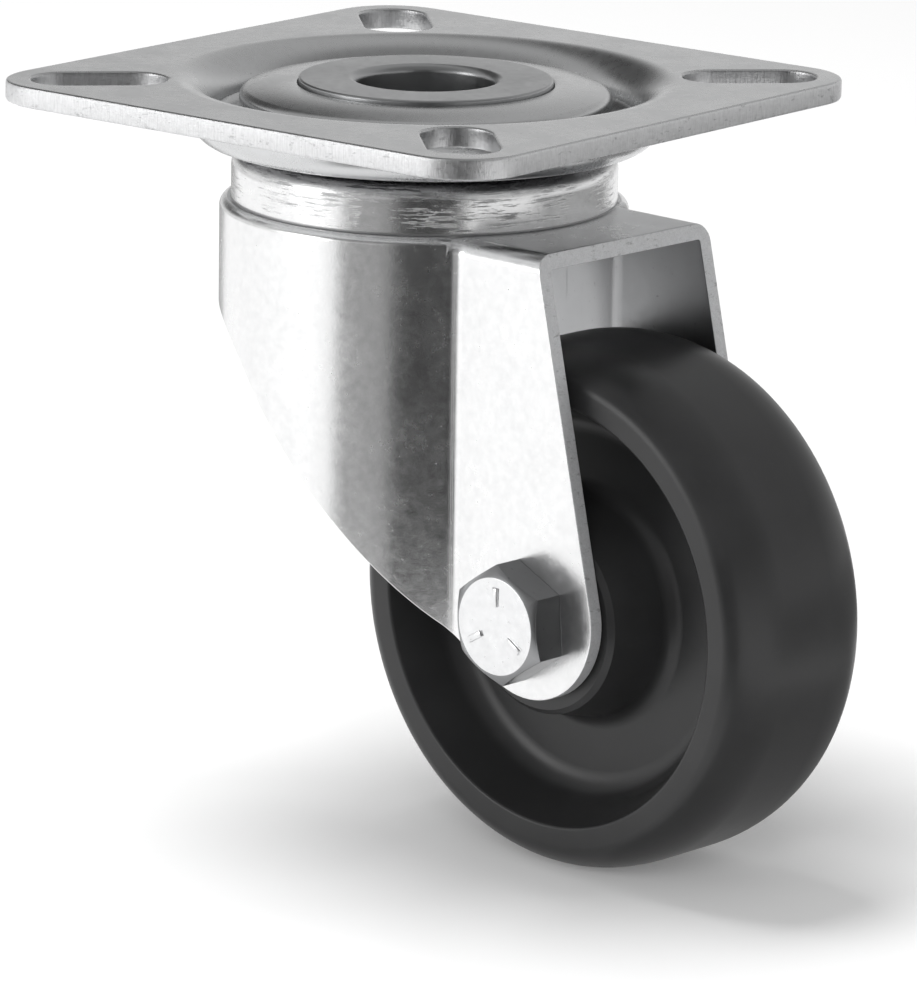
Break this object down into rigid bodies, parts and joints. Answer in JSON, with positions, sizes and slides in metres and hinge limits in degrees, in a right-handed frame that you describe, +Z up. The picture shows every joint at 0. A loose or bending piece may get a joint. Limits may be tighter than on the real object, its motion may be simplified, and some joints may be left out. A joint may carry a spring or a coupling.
{
  "type": "swivel castor",
  "caption": "Swivel castor with a square slotted top plate, a pressed ball-bearing head, a drawn steel fork and a solid black moulded wheel on a bolted axle.",
  "frame": {"origin": "middle of the plate's flat top face, on the swivel axis", "axes": "+Z up out of the plate along the swivel axis, X and Y along the plate's diagonals; at rest the fork points 50 degrees from +X towards -Y"},
  "size_m": [0.0796, 0.0823, 0.071],
  "materials": {
    "plate": "satin zinc plate",
    "rivet": "zinc plate",
    "race": "zinc plate",
    "ball": "polished",
    "fork": "bright zinc plate",
    "wheel": "satin moulded",
    "tube": "drawn",
    "bolt": "zinc plate",
    "nut": "zinc plate",
    "insert": "moulded"
  },
  "bodies": {
    "plate": {"top_plate": "plate", "king_rivet": "rivet", "lower_race_cup": "race"},
    "upper_balls": {"upper_ball_01": "ball", "upper_ball_02": "ball", "upper_ball_03": "ball", "upper_ball_04": "ball", "upper_ball_05": "ball", "upper_ball_06": "ball", "upper_ball_07": "ball", "upper_ball_08": "ball", "upper_ball_09": "ball", "upper_ball_10": "ball", "upper_ball_11": "ball", "upper_ball_12": "ball", "upper_ball_13": "ball", "upper_ball_14": "ball", "upper_ball_15": "ball", "upper_ball_16": "ball", "upper_ball_17": "ball", "upper_ball_18": "ball", "upper_ball_19": "ball", "upper_ball_20": "ball"},
    "lower_balls": {"lower_ball_01": "ball", "lower_ball_02": "ball", "lower_ball_03": "ball", "lower_ball_04": "ball", "lower_ball_05": "ball", "lower_ball_06": "ball", "lower_ball_07": "ball", "lower_ball_08": "ball", "lower_ball_09": "ball", "lower_ball_10": "ball", "lower_ball_11": "ball", "lower_ball_12": "ball", "lower_ball_13": "ball", "lower_ball_14": "ball", "lower_ball_15": "ball"},
    "fork": {"fork": "fork", "axle_tube": "tube", "axle_bolt": "bolt", "lock_nut": "nut", "nut_insert": "insert"},
    "wheel": {"wheel": "wheel"}
  },
  "joints": [
    {"name": "fork_swivel", "type": "hinge", "parent": "plate", "child": "fork", "pos_m": [0, 0, 0], "axis": [0, 0, 1], "continuous": true},
    {"name": "upper_row_roll", "type": "hinge", "parent": "plate", "child": "upper_balls", "pos_m": [0, 0, 0], "axis": [0, 0, 1], "continuous": true},
    {"name": "lower_row_roll", "type": "hinge", "parent": "plate", "child": "lower_balls", "pos_m": [0, 0, 0], "axis": [0, 0, 1], "continuous": true},
    {"name": "wheel_spin", "type": "hinge", "parent": "fork", "child": "wheel", "pos_m": [0.01607, -0.01915, -0.046], "axis": [0.766, 0.6428, 0], "continuous": true}
  ],
  "couplings": [
    {"joint": "upper_row_roll", "follows": "fork_swivel", "ratio": 0.5},
    {"joint": "lower_row_roll", "follows": "fork_swivel", "ratio": 0.5}
  ]
}
